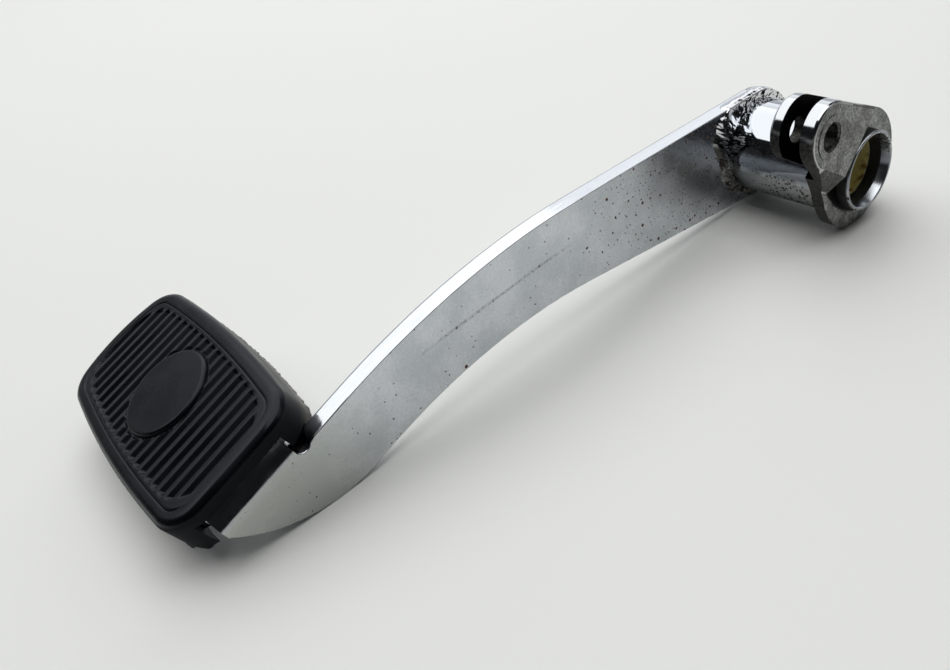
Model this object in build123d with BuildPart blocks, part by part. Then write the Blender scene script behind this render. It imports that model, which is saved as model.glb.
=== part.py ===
from build123d import *
from math import asin, atan2, cos, degrees, hypot, radians, sin, sqrt, tan
import os

# Rear brake pedal, in millimetres. The origin is on the pivot axis, where it meets the arm's inner face.
# +Y runs along the pivot tube to its free end, +X points to the pad, +Z is up as the pedal lies on a table.
# Most pieces are drawn level, with the pad flat, and their planes are then turned to the lying angle.

# Clearances between pieces
seat_gap = 0.02
rubber_gap = 0.05

# Pivot tube
tube_diameter = 31.75
tube_seat_diameter = 26.0
tube_body_length = 34.0
tube_nose_length = 7.85
tube_nose_wall = 1.9
tube_mouth_flare = 0.9
tube_mouth_depth = 3.0
tube_edge_round = 0.4

# Bronze bushes
bush_wall = 1.53
bush_length = 12.7
bush_edge_chamfer = 0.6
inner_bush_recess = 6.3
outer_bush_recess = 3.0

# Pedal arm, a plate with a folded flange
arm_thickness = 6.35
arm_tail_radius = 19.0
arm_top_slope = 21.8
arm_bottom_slope = 28.1
arm_top_height = 66.3
arm_head_depth = 23.3
arm_crest_radius = 231.0
arm_belly_radius = 169.0
arm_nose_radius = 40.0
arm_front_round = 0.3
arm_back_round = 1.3
flange_rise = 6.2
bend_inner_radius = 1.0
notch_width = 4.8
notch_depth = 1.4
notch_mouth_round = 4.0
bend_lead = 15.3

# Rubber pad
pad_lead = 12.05
pad_centre_y = -47.85
pad_width = 46.3
pad_length = 89.3
pad_side_crown = 2.6
pad_near_crown = 0.6
pad_far_crown = 4.4
pad_corner_radius = 10.5
pad_wall = 3.2
pad_roof = 3.5
pad_rim_round = 2.5
lip_thickness = 2.6
lip_width = 5.0
lip_notch_gap = 0.6
lip_tip_gap = 2.9
groove_inset = 4.3
groove_width = 0.6
groove_depth = 0.7
groove_near_end = 12.0
rib_count = 20
rib_pitch = 4.0
rib_valley_width = 1.6
rib_valley_depth = 1.2
rib_side_inset = 6.0
rib_end_inset = 5.2
medallion_diameter = 26.8
medallion_moat = 0.8
medallion_rise = 0.4

# Fork lever
ring_diameter = 39.0
ring_thickness = 4.0
lever_angle = 65.0
lever_reach = 31.0
eye_diameter = 20.4
eye_offset = 0.6
flank_scoop_radius = 45.0
flank_scoop_depth = 1.4
pin_hole_diameter = 8.1
pin_hole_chamfer = 0.5
ear_front_thickness = 4.5
ear_rear_thickness = 3.7
ear_front_proud = 3.5
ear_face_bottom = 13.3
fork_slot_width = 6.7
fork_slot_floor = 22.0
neck_gap = 0.4
shoulder_inset = 4.4
shoulder_run = 6.5
shoulder_turn = 9.0
eye_boss_diameter = 13.4
eye_boss_height = 0.2
lever_edge_round = 1.2

# Weld bead between the tube and the arm
weld_tube_leg = 2.2
weld_arm_leg = 7.0
weld_tail_leg = 1.2
weld_edge_gap = 0.6
weld_crown = 0.4

# Places worked out from the sizes above
tube_radius = tube_diameter / 2
seat_radius = tube_seat_diameter / 2
tube_bore = tube_seat_diameter - 2 * tube_nose_wall
bush_bore = tube_bore - 2 * (seat_gap + bush_wall)
tube_end = tube_body_length + tube_nose_length
arm_low_height = arm_top_height - arm_head_depth
flange_top_height = arm_top_height + flange_rise
bend_outer_radius = bend_inner_radius + arm_thickness
bend_height = flange_top_height - bend_outer_radius
flange_low_height = flange_top_height - arm_thickness
pad_top_height = flange_top_height + pad_roof
pad_low_height = flange_low_height - lip_thickness
ring_radius = ring_diameter / 2
eye_radius = eye_diameter / 2
pin_radius = pin_hole_diameter / 2
ring_front = tube_body_length + ring_thickness
ear_front = ring_front + ear_front_proud
slot_front = ear_front - ear_front_thickness
slot_rear = slot_front - fork_slot_width
ear_rear = slot_rear - ear_rear_thickness

# Outline of the arm, level: tail around the pivot, straight flanks, and blends up to the bend and the nose
top_turn = radians(arm_top_slope)
low_turn = radians(arm_bottom_slope)
tail_top = (-arm_tail_radius * sin(top_turn), arm_tail_radius * cos(top_turn))
tail_back = (-arm_tail_radius, 0)
tail_low = (arm_tail_radius * sin(low_turn), -arm_tail_radius * cos(low_turn))
crest_x = (arm_top_height * cos(top_turn) - arm_tail_radius) / sin(top_turn)
crest_reach = arm_crest_radius * tan(top_turn / 2)
crest_start = (crest_x - crest_reach * cos(top_turn), arm_top_height - crest_reach * sin(top_turn))
crest_end = (crest_x + crest_reach, arm_top_height)
belly_x = (arm_low_height * cos(low_turn) + arm_tail_radius) / sin(low_turn)
belly_reach = arm_belly_radius * tan(low_turn / 2)
belly_start = (belly_x - belly_reach * cos(low_turn), arm_low_height - belly_reach * sin(low_turn))
belly_end = (belly_x + belly_reach, arm_low_height)
nose_centre = (belly_end[0], arm_low_height + arm_nose_radius)
nose_reach = sqrt(arm_nose_radius**2 - (nose_centre[1] - bend_height) ** 2)
nose_tip = (nose_centre[0] + nose_reach, bend_height)
bend_start = crest_end[0] + bend_lead
bend_width = nose_tip[0] - bend_start
notch_radius = notch_width / 2
notch_centre = (bend_start - notch_radius, arm_top_height - notch_depth + notch_radius)
notch_mouth = (notch_centre[0] - sqrt(notch_radius**2 - (notch_radius - notch_depth) ** 2), arm_top_height)
pad_centre_x = bend_start + pad_lead

# The pedal lies on the lever's ring and the arm's nose, so the line under both sets the lying angle.
nose_drop = asin((arm_nose_radius - ring_radius) / hypot(*nose_centre))
lie_angle = degrees(atan2(nose_centre[1], nose_centre[0]) - nose_drop)
level_x = Vector(cos(radians(lie_angle)), 0, -sin(radians(lie_angle)))
level_z = Vector(sin(radians(lie_angle)), 0, cos(radians(lie_angle)))


def level_direction(angle):
    """Unit vector across the pivot, at an angle up from level forward."""
    return level_x * cos(radians(angle)) + level_z * sin(radians(angle))


def side_plane(y, turn=0.0):
    """Plane across the pivot at y: local x is level forward turned up by an angle, and the normal is -Y."""
    return Plane(origin=(0, y, 0), x_dir=level_direction(turn), z_dir=(0, -1, 0))


def level_plane(height):
    """Plane of the pad at a level height: local x is level forward, local y is Y."""
    return Plane(origin=level_z * height, x_dir=level_x, z_dir=level_z)


def cross_plane(distance, turn=0.0, shift=0.0):
    """Plane square to a direction from the pivot: local x is Y, local y is across, turned up."""
    origin = level_direction(turn) * distance + level_direction(turn - 90) * shift
    return Plane(origin=origin, x_dir=(0, 1, 0), z_dir=level_direction(turn))


def pad_outline(side_inset, end_inset, corner_radius):
    """Crowned outline of the pad on its level plane, set in from its outer walls."""
    half_x = pad_width / 2 - side_inset
    half_y = pad_length / 2 - end_inset
    end_x = half_x - pad_side_crown
    near_y = half_y - pad_near_crown
    far_y = pad_far_crown - half_y
    with BuildSketch(mode=Mode.PRIVATE) as outline:
        with BuildLine():
            ThreePointArc((-end_x, far_y), (0, -half_y), (end_x, far_y))
            ThreePointArc((end_x, far_y), (half_x, 0), (end_x, near_y))
            ThreePointArc((end_x, near_y), (0, half_y), (-end_x, near_y))
            ThreePointArc((-end_x, near_y), (-half_x, 0), (-end_x, far_y))
        make_face()
        fillet(outline.vertices(), corner_radius)
    return Pos(pad_centre_x, pad_centre_y) * outline.sketch_local


with BuildPart() as pedal_arm:
    with BuildSketch(side_plane(0)) as blade:
        with BuildLine():
            Line(tail_top, crest_start)
            RadiusArc(crest_start, crest_end, arm_crest_radius)
            Line(crest_end, (bend_start, arm_top_height))
            Line((bend_start, arm_top_height), (bend_start, bend_height))
            Line((bend_start, bend_height), nose_tip)
            RadiusArc(nose_tip, belly_end, arm_nose_radius)
            RadiusArc(belly_end, belly_start, -arm_belly_radius)
            Line(belly_start, tail_low)
            ThreePointArc(tail_low, tail_back, tail_top)
        make_face()
        with Locations(notch_centre):
            Circle(notch_radius, mode=Mode.SUBTRACT)
        fillet(blade.vertices().sort_by_distance(notch_mouth)[0], notch_mouth_round)
    extrude(amount=arm_thickness)
    # Long edges of the blade are rounded, most at the back, and the line of the bend is left sharp
    long_edges = pedal_arm.edges().filter_by(lambda edge: edge.length > 2 * arm_thickness)
    bend_edges = long_edges.filter_by(Axis((0, 0, 0), level_x)).sort_by(Axis((0, 0, 0), level_x))[-2:]
    outer_edges = (long_edges - bend_edges).group_by(Axis.Y)
    fillet(outer_edges[-1], arm_front_round)
    fillet(outer_edges[0], arm_back_round)
    # Quarter bend between the blade and the flange
    with BuildSketch(cross_plane(bend_start)):
        with BuildLine():
            CenterArc((-bend_outer_radius, bend_height), bend_outer_radius, 0, 90)
            Line((-bend_outer_radius, flange_top_height), (-bend_outer_radius, flange_low_height))
            CenterArc((-bend_outer_radius, bend_height), bend_inner_radius, 0, 90)
            Line((-arm_thickness, bend_height), (0, bend_height))
        make_face()
    extrude(amount=bend_width)
    # Flange under the rubber, cut off square where the bend ends
    with BuildSketch(level_plane(flange_low_height)):
        flange_inset = pad_wall + rubber_gap
        add(pad_outline(flange_inset, flange_inset, pad_corner_radius - pad_wall))
        with Locations((pad_centre_x, -bend_outer_radius)):
            Rectangle(pad_width, pad_length, align=(Align.CENTER, Align.MAX), mode=Mode.INTERSECT)
    extrude(amount=arm_thickness)
    # Hole for the tube's turned end
    with Locations(side_plane(0)):
        Hole(seat_radius + seat_gap)

with BuildPart() as pivot_tube:
    with BuildSketch(Plane.XY):
        with BuildLine():
            Polyline(
                (tube_bore / 2, -arm_thickness),
                (seat_radius, -arm_thickness),
                (seat_radius, 0),
                (tube_radius, 0),
                (tube_radius, tube_body_length),
                (seat_radius, tube_body_length),
                (seat_radius, tube_end),
                (tube_bore / 2 + tube_mouth_flare, tube_end),
                (tube_bore / 2, tube_end - tube_mouth_depth),
                close=True,
            )
        make_face()
    revolve(axis=Axis.Y)
    fillet(pivot_tube.edges().filter_by(GeomType.CIRCLE).group_by(Axis.Y)[-1], tube_edge_round)

# Two plain bushes pressed into the tube, one near each end
bush_radius = tube_bore / 2 - seat_gap
inner_bush_front = tube_end - inner_bush_recess
outer_bush_front = outer_bush_recess - arm_thickness + bush_length
with BuildPart() as inner_bush:
    with BuildSketch(side_plane(inner_bush_front)):
        Circle(bush_radius)
        Circle(bush_bore / 2, mode=Mode.SUBTRACT)
    extrude(amount=bush_length)
    chamfer(inner_bush.edges().filter_by(GeomType.CIRCLE).group_by(SortBy.RADIUS)[-1], bush_edge_chamfer)

with BuildPart() as outer_bush:
    with BuildSketch(side_plane(outer_bush_front)):
        Circle(bush_radius)
        Circle(bush_bore / 2, mode=Mode.SUBTRACT)
    extrude(amount=bush_length)
    chamfer(outer_bush.edges().filter_by(GeomType.CIRCLE).group_by(SortBy.RADIUS)[-1], bush_edge_chamfer)

# Fork lever: a ring on the tube's nose that grows into two ears for the rod's pin
eye_x = lever_reach - eye_offset
flank_lean = asin((ring_radius - eye_radius) / hypot(eye_x, eye_offset)) + atan2(eye_offset, eye_x)
flank_middle = hypot(eye_x, eye_offset) / 2
scoop_reach = ring_radius + flank_scoop_radius - flank_scoop_depth
scoop_centre = (
    scoop_reach * sin(flank_lean) + flank_middle * cos(flank_lean),
    flank_middle * sin(flank_lean) - scoop_reach * cos(flank_lean),
)
lever_along = level_direction(lever_angle)
lever_across = level_direction(lever_angle + 90)
lever_side = Plane(origin=(0, 0, 0), x_dir=lever_along, z_dir=lever_across)
with BuildPart() as fork_lever:
    with BuildSketch(side_plane(ear_front, lever_angle)):
        Circle(ring_radius)
        with Locations((eye_x, eye_offset)):
            Circle(eye_radius)
        make_hull()
        with Locations(scoop_centre):
            Circle(flank_scoop_radius, mode=Mode.SUBTRACT)
    extrude(amount=ear_front - ear_rear)
    fillet(fork_lever.edges().filter_by(Axis.Y, reverse=True), lever_edge_round)
    # Slot between the ears
    with BuildSketch(side_plane(slot_front, lever_angle)):
        with Locations((fork_slot_floor, 0)):
            Rectangle(lever_reach, ring_diameter, align=(Align.MIN, Align.CENTER))
    extrude(amount=fork_slot_width, mode=Mode.SUBTRACT)
    # Sloping underside of the neck, clear of the tube's body
    with BuildSketch(lever_side):
        with BuildLine():
            Polyline(
                (-ring_diameter, 0),
                (fork_slot_floor, 0),
                (fork_slot_floor, ear_rear),
                (tube_radius + neck_gap, tube_body_length),
                (-ring_diameter, tube_body_length),
                close=True,
            )
        make_face()
    extrude(amount=ring_diameter, both=True, mode=Mode.SUBTRACT)
    # Face of the ring, set back below the front ear
    with BuildSketch(side_plane(ear_front, lever_angle)):
        with Locations((ear_face_bottom, 0)):
            Rectangle(2 * ring_diameter, 2 * ring_diameter, align=(Align.MAX, Align.CENTER))
    extrude(amount=ear_front_proud, mode=Mode.SUBTRACT)
    # Sloping shoulder beside the front ear, and the narrow flank of the rear one
    with BuildSketch(cross_plane(ear_face_bottom, lever_angle - shoulder_turn, shoulder_inset)):
        with BuildLine():
            Polyline(
                (ear_front, 0),
                (ring_front, -shoulder_run),
                (ring_front, -ring_radius),
                (ear_front, -ring_radius),
                close=True,
            )
        make_face()
        Rectangle(tube_body_length, ring_radius, align=(Align.MIN, Align.MAX))
    extrude(amount=lever_reach, both=True, mode=Mode.SUBTRACT)
    # Low boss around the pin hole
    with BuildSketch(side_plane(ear_front, lever_angle)):
        with Locations((lever_reach, 0)):
            Circle(eye_boss_diameter / 2)
    extrude(amount=-eye_boss_height)
    # Bore for the tube's nose and hole for the pin
    with Locations(side_plane(ear_front, lever_angle)):
        Hole(seat_radius + seat_gap)
    with Locations(-side_plane(ear_front, lever_angle)):
        with Locations((lever_reach, 0)):
            CounterSinkHole(pin_radius, pin_radius + pin_hole_chamfer, counter_sink_angle=90)

# Weld bead, widest on the side of the arm
weld_shift = (weld_arm_leg - weld_tail_leg) / 2
weld_half_length = tube_radius + (weld_arm_leg + weld_tail_leg) / 2
with BuildPart() as arm_weld:
    with BuildSketch(side_plane(0, arm_top_slope)):
        with Locations((weld_shift, 0)):
            Ellipse(weld_half_length, arm_tail_radius - weld_edge_gap)
    with BuildSketch(side_plane(weld_tube_leg, arm_top_slope)):
        Circle(tube_radius + weld_crown)
    loft()
    with Locations(side_plane(0)):
        Hole(tube_radius + seat_gap)

# Rubber pad, pulled over the flange
with BuildPart() as pad_rubber:
    with BuildSketch(level_plane(pad_low_height)):
        add(pad_outline(0, 0, pad_corner_radius))
    extrude(amount=pad_top_height - pad_low_height)
    fillet(pad_rubber.faces().sort_by(Axis((0, 0, 0), level_z))[-1].edges(), pad_rim_round)
    # Pocket for the flange
    with BuildSketch(level_plane(flange_low_height - rubber_gap)):
        add(pad_outline(pad_wall, pad_wall, pad_corner_radius - pad_wall))
    extrude(amount=arm_thickness + 2 * rubber_gap, mode=Mode.SUBTRACT)
    # Opening inside the lips
    with BuildSketch(level_plane(pad_low_height)):
        lip_inset = pad_wall + lip_width
        add(pad_outline(lip_inset, lip_inset, pad_corner_radius - pad_wall))
    extrude(amount=lip_thickness, mode=Mode.SUBTRACT)
    # Gap in the near wall, shaped over the bend
    with BuildSketch(cross_plane(bend_start - lip_notch_gap)):
        with Locations((-bend_outer_radius, bend_height)):
            Circle(bend_outer_radius + rubber_gap)
            Rectangle(2 * bend_outer_radius, bend_height, align=(Align.CENTER, Align.MAX))
    extrude(amount=lip_notch_gap + bend_width + lip_tip_gap, mode=Mode.SUBTRACT)
    # Step in the near lip, where it clears the arm's top edge
    with BuildSketch(cross_plane(0)):
        Rectangle(arm_thickness + rubber_gap, arm_top_height + rubber_gap, align=(Align.MAX, Align.MIN))
    extrude(amount=bend_start, mode=Mode.SUBTRACT)
    # Valleys between the ribs, ending at the moat round the medallion
    with BuildSketch(level_plane(pad_top_height)):
        with Locations((pad_centre_x, pad_centre_y)):
            with GridLocations(0, rib_pitch, 1, rib_count):
                Rectangle(pad_width, rib_valley_width)
        add(pad_outline(rib_side_inset, rib_end_inset, pad_corner_radius), mode=Mode.INTERSECT)
        with Locations((pad_centre_x, pad_centre_y)):
            Circle(medallion_diameter / 2 + medallion_moat)
            Circle(medallion_diameter / 2, mode=Mode.SUBTRACT)
    extrude(amount=-rib_valley_depth, mode=Mode.SUBTRACT)
    # Bare round medallion, a little proud of the ribs
    with BuildSketch(level_plane(pad_top_height)):
        with Locations((pad_centre_x, pad_centre_y)):
            Circle(medallion_diameter / 2)
    extrude(amount=medallion_rise)
    # Thin groove beside the ribs, open at the near end
    with BuildSketch(level_plane(pad_top_height)):
        add(pad_outline(groove_inset, groove_inset, pad_corner_radius))
        groove_inner = groove_inset + groove_width
        add(pad_outline(groove_inner, groove_inner, pad_corner_radius), mode=Mode.SUBTRACT)
        with Locations((pad_centre_x, pad_centre_y + pad_length / 2)):
            Rectangle(pad_width, groove_near_end, align=(Align.CENTER, Align.MAX), mode=Mode.SUBTRACT)
    extrude(amount=-groove_depth, mode=Mode.SUBTRACT)

os.makedirs("parts", exist_ok=True)
pedal_arm.part.label = "pedal_arm"
pivot_tube.part.label = "pivot_tube"
inner_bush.part.label = "inner_bush"
outer_bush.part.label = "outer_bush"
fork_lever.part.label = "fork_lever"
arm_weld.part.label = "arm_weld"
pad_rubber.part.label = "pad_rubber"
export_step(pedal_arm.part, "parts/pedal_arm.step")
export_step(pivot_tube.part, "parts/pivot_tube.step")
export_step(inner_bush.part, "parts/inner_bush.step")
export_step(outer_bush.part, "parts/outer_bush.step")
export_step(fork_lever.part, "parts/fork_lever.step")
export_step(arm_weld.part, "parts/arm_weld.step")
export_step(pad_rubber.part, "parts/pad_rubber.step")
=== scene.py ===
# %% [markdown]
# # A rear brake pedal on a pale bench
# The pedal is a chromed steel arm with a rubber tread pulled over its folded end.
# A short tube is welded to the other end, and a forged fork lever sits on the tube's nose.
# The solids come from the CAD frame, so the steel pieces are already the right shape and size.
# Here they get their finishes, and two pieces are made again in full: the rubber tread and the weld bead.

# %% Load the frame
from math import cos, degrees, exp, hypot, pi, radians, sin, sqrt

import bmesh
import bpy
import numpy as np
from mathutils import Matrix, Vector, noise
from mathutils.geometry import delaunay_2d_cdt


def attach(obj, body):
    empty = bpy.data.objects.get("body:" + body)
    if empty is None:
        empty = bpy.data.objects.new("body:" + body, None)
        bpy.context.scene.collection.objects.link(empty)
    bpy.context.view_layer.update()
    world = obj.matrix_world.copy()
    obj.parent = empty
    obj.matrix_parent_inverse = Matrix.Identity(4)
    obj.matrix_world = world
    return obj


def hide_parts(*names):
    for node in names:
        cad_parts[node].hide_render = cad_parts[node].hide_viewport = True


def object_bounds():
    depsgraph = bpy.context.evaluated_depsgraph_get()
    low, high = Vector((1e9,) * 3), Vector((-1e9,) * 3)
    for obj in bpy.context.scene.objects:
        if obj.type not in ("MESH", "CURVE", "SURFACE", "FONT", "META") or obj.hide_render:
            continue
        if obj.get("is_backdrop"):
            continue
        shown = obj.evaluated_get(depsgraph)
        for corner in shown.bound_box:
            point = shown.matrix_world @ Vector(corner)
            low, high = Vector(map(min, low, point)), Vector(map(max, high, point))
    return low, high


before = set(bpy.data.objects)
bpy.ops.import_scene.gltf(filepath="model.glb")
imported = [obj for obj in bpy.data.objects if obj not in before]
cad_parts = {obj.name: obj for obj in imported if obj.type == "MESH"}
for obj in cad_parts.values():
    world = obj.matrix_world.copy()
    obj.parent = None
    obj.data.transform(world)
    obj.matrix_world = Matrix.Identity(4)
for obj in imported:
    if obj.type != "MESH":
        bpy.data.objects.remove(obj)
cad_low, cad_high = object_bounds()
scene = bpy.context.scene
print("nodes:", sorted(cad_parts))
print("box in mm:", [round(1000 * (b - a), 1) for a, b in zip(cad_low, cad_high)])

# %% [markdown]
# ## Two frames
# The pedal lies on a bench, so the bench is level and the pedal's own lines are not.
# It is easier to think with the tread level, as it is on the machine, so sizes are written in that frame.
# One matrix then turns them about the pivot to where the pedal lies, and changes millimetres to metres.

# %% Level frame to lying frame
MM = 0.001
LIE = radians(20.532)
LYING = Matrix.Rotation(LIE, 4, "Y") @ Matrix.Scale(MM, 4)
FLOOR_HEIGHT = cad_low.z
print("the pedal lies turned by", round(degrees(LIE), 1), "degrees")

# %% [markdown]
# ## Helpers
# Colours are written as sRGB hex values, the way a colour picker shows them, and Blender wants them linear.
# One helper adds any node, sets its properties, and links or sets its inputs, for materials and for geometry.
# Nodes and settings that come back in most trees, such as a smooth step or a product, have short names.

# %% Names for nodes and settings that come back
MATH, VECTORS, MIX = "ShaderNodeMath", "ShaderNodeVectorMath", "ShaderNodeMix"
RANGE, NOISE = "ShaderNodeMapRange", "ShaderNodeTexNoise"
SMOOTH = {"interpolation_type": "SMOOTHSTEP"}
COLOUR, NUMBER = {"data_type": "RGBA"}, {"data_type": "FLOAT"}
DARKEN = {"data_type": "RGBA", "blend_type": "MULTIPLY"}
TIMES, TIMES_PLUS = {"operation": "MULTIPLY"}, {"operation": "MULTIPLY_ADD"}
MINUS, OVER = {"operation": "SUBTRACT"}, {"operation": "DIVIDE"}
LARGER, UNSIGNED = {"operation": "MAXIMUM"}, {"operation": "ABSOLUTE"}
ABOVE, BELOW, WITHIN = {"operation": "GREATER_THAN"}, {"operation": "LESS_THAN"}, {"operation": "COMPARE"}
print("a smooth step is", SMOOTH)

# %% Helpers for objects, colours and nodes


def put(name, data):
    """New object in the scene."""
    thing = bpy.data.objects.new(name, data)
    scene.collection.objects.link(thing)
    return thing


def paint(code):
    """Linear colour from an sRGB hex code."""
    parts = [int(code[i:i + 2], 16) / 255 for i in (1, 3, 5)]
    return tuple(p / 12.92 if p <= 0.04045 else ((p + 0.055) / 1.055) ** 2.4 for p in parts) + (1.0,)


def add(tree, kind, settings=None, inputs=None):
    """Adds a node and gives its outputs. Settings are its properties; inputs are values or outputs."""
    made = tree.nodes.new(kind)
    for name, value in (settings or {}).items():
        setattr(made, name, value)
    for name, value in (inputs or {}).items():
        socket = made.inputs[name]
        if isinstance(value, bpy.types.NodeSocket):
            tree.links.new(value, socket)
        else:
            socket.default_value = value
    return made.outputs


def finish(name, **uniform):
    """New material. Values that are the same all over go on the shader's own sockets."""
    material = bpy.data.materials.new(name)
    material.use_nodes = True
    shader = material.node_tree.nodes["Principled BSDF"]
    for socket, value in uniform.items():
        shader.inputs[socket.replace("_", " ")].default_value = value
    return material, material.node_tree, shader


def wire(tree, shader, **outputs):
    """Links what varies over the surface to the shader's sockets of those names."""
    for socket, output in outputs.items():
        tree.links.new(output, shader.inputs[socket.replace("_", " ")])


def dress(node, material):
    """Gives a CAD node its finish."""
    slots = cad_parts[node].data.materials
    slots.clear()
    slots.append(material)


print("mid grey is", round(paint("#808080")[0], 3), "in linear light")

# %% [markdown]
# ## Camera
# The photograph was taken close by, looking down over the lever end, so near things look clearly larger.
# Its place and lens were worked out from the pedal's own outlines.
# The frame is cut from a larger one, which is what the small shift says.

# %% Camera at the photograph's angle
camera = bpy.data.cameras.new("photo_camera")
camera.sensor_width, camera.lens = 36, 30.79
camera.shift_x, camera.shift_y = -0.0453, -0.0604
camera.clip_start = 0.01
right = Vector((-0.74004, 0.64510, -0.19024))
up = Vector((-0.49004, -0.32345, 0.80947))
back = right.cross(up)
turned = Matrix((right, up, back)).transposed().to_4x4()
turned.translation = (0.21707, 0.15854, 0.13642)
photo_camera = put("photo_camera", camera)
photo_camera.matrix_world = turned
scene.camera = photo_camera
scene.view_settings.view_transform = "Standard"
box_middle = (Vector(cad_low) + Vector(cad_high)) / 2
print("camera is", round((turned.translation - box_middle).length, 3), "m from the middle of the pedal's box")

# %% [markdown]
# ## Bench, softboxes and room
# Chrome shows its surroundings more than itself, so the room matters as much as the finish.
# A pale bench fills the picture. Four softboxes hang under the ceiling.
# The one overhead lights the bench and keeps the shadows close.
# The ones behind, beside and in front of the pedal are what the tube, the edges and the weld mirror.
# The room is bright far behind and dim towards the camera, which gives tube and bend their dark bands.

# %% Bench
BENCH_HALF = 3.0
corners = [(x * BENCH_HALF, y * BENCH_HALF, FLOOR_HEIGHT) for x, y in ((-1, -1), (1, -1), (1, 1), (-1, 1))]
bench_mesh = bpy.data.meshes.new("bench")
bench_mesh.from_pydata(corners, [], [(0, 1, 2, 3)])
bench = put("bench", bench_mesh)
laminate, *_ = finish("bench_laminate", Base_Color=paint("#f1f2ee"), Roughness=0.6)
bench_mesh.materials.append(laminate)
bench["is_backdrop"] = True
print("bench at", round(FLOOR_HEIGHT, 4))

# %% Softboxes
CEILING_HEIGHT = 1.6
# Span in x and in y in metres, and how bright the box looks
softboxes = {
    "overhead": ((-1.1, 0.7), (-0.7, 0.75), 2.15),
    "behind": ((-1.5, 1.7), (-2.4, -0.7), 1.7),
    "beside": ((-3.8, -1.5), (-2.7, -0.7), 1.0),
    "in front": ((-3.2, -1.2), (0.85, 2.1), 1.2),
}
for name, (span_x, span_y, glow) in softboxes.items():
    lamp = bpy.data.lights.new(name, "AREA")
    lamp.shape = "RECTANGLE"
    lamp.size, lamp.size_y = span_x[1] - span_x[0], span_y[1] - span_y[0]
    lamp.energy = glow * pi * lamp.size * lamp.size_y
    put(name, lamp).location = (sum(span_x) / 2, sum(span_y) / 2, CEILING_HEIGHT)
    print(f"{name} softbox: {lamp.size:.2f} by {lamp.size_y:.2f} m, {lamp.energy:.1f} W")

# %% Room
room = bpy.data.worlds.new("room")
room.use_nodes = True
scene.world = room
tree = room.node_tree
sky = tree.nodes["Background"]
direction = add(tree, "ShaderNodeTexCoord")["Generated"]
towards_camera = add(tree, VECTORS, {"operation": "DOT_PRODUCT"}, {0: direction, 1: tuple(back)})["Value"]
dim = add(tree, RANGE, SMOOTH, {
    "Value": towards_camera, "From Min": -0.8, "From Max": 0.0, "To Min": 0.8, "To Max": 0.012})[0]
tree.links.new(dim, sky.inputs["Strength"])
sky.inputs["Color"].default_value = paint("#eef2fa")
print("room has", len(tree.nodes), "nodes")

# %% [markdown]
# ## The rubber tread: outline
# The tread is one moulding: a roof with ribs, walls round the steel flange, and a lip that hooks under it.
# Its outline is four shallow arcs with rounded corners, so it could be drawn as a curve and offset.
# Worked out as points with outward normals, every inner line is that outline moved in, and rings join evenly.

# %% Outline of the tread
TREAD_CENTRE = Vector((186.43, -47.85))
TREAD_TOP = 76.0
TREAD_WIDTH, TREAD_LENGTH = 46.3, 89.3
SIDE_CROWN, NEAR_CROWN, FAR_CROWN = 2.6, 0.6, 4.4
CORNER_RADIUS = 10.5
SIDE_STEPS, END_STEPS, CORNER_STEPS = 120, 64, 22


def circle_through(a, b, c):
    """Centre and radius of the circle through three points."""
    rows = np.array([[b[0] - a[0], b[1] - a[1]], [c[0] - a[0], c[1] - a[1]]])
    sums = np.array([rows[0] @ rows[0] / 2, rows[1] @ rows[1] / 2])
    centre = Vector(np.linalg.solve(rows, sums)) + Vector(a)
    return centre, (Vector(a) - centre).length


def corner_pivot(before, after, sharp):
    """Centre of the round that joins two arcs, on the side of their sharp corner."""
    (c0, r0), (c1, r1) = before, after
    r0, r1 = r0 - CORNER_RADIUS, r1 - CORNER_RADIUS
    line = c1 - c0
    along = (r0 ** 2 - r1 ** 2 + line.length ** 2) / (2 * line.length)
    across = sqrt(max(0.0, r0 ** 2 - along ** 2))
    painted_shade_at_toe, side = c0 + line.normalized() * along, line.normalized().orthogonal()
    return min((painted_shade_at_toe + side * across, painted_shade_at_toe - side * across), key=lambda v: (v - sharp).length)


def tread_outline(side_inset, end_inset):
    """Points and outward normals of the tread's outline, set in from its walls, about its own centre."""
    half_x, half_y = TREAD_WIDTH / 2 - side_inset, TREAD_LENGTH / 2 - end_inset
    end_x, near_y, far_y = half_x - SIDE_CROWN, half_y - NEAR_CROWN, FAR_CROWN - half_y
    sharp = [Vector(v) for v in ((-end_x, far_y), (end_x, far_y), (end_x, near_y), (-end_x, near_y))]
    tops = [(0, -half_y), (half_x, 0), (0, half_y), (-half_x, 0)]
    arcs = [circle_through(sharp[i], tops[i], sharp[(i + 1) % 4]) for i in range(4)]
    pivots = [corner_pivot(arcs[i - 1], arcs[i], sharp[i]) for i in range(4)]
    points, normals = [], []
    for i in range(4):
        centre, radius = arcs[i]
        start = (pivots[i] - centre).normalized()
        end = (pivots[(i + 1) % 4] - centre).normalized()
        before = (pivots[i] - arcs[i - 1][0]).normalized()
        spans = [(pivots[i], CORNER_RADIUS, before, start, CORNER_STEPS),
                 (centre, radius, start, end, END_STEPS if i % 2 == 0 else SIDE_STEPS)]
        for middle, reach, a, b, steps in spans:
            turn = a.angle_signed(b)
            for k in range(steps):
                angle = turn * k / steps
                n = Vector((a.x * cos(angle) + a.y * sin(angle), a.y * cos(angle) - a.x * sin(angle)))
                points.append(middle + n * reach)
                normals.append(n)
    return points, normals


edge_points, edge_normals = tread_outline(0, 0)
edge_array, edge_normal_array = np.array(edge_points), np.array(edge_normals)
print(len(edge_points), "points round the tread,", round(2 * max(p.y for p in edge_points), 1), "mm long")

# %% [markdown]
# ## The rubber tread: shell
# The walls are rings of the outline, moved in and down step by step: over the rim, down the wall, under the
# lip, and up inside to the roof.
# The roof is filled with a fine triangle net, close enough to carry round-topped ribs, and finest where the
# ribs end at the rim and at the medallion's moat.

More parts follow.
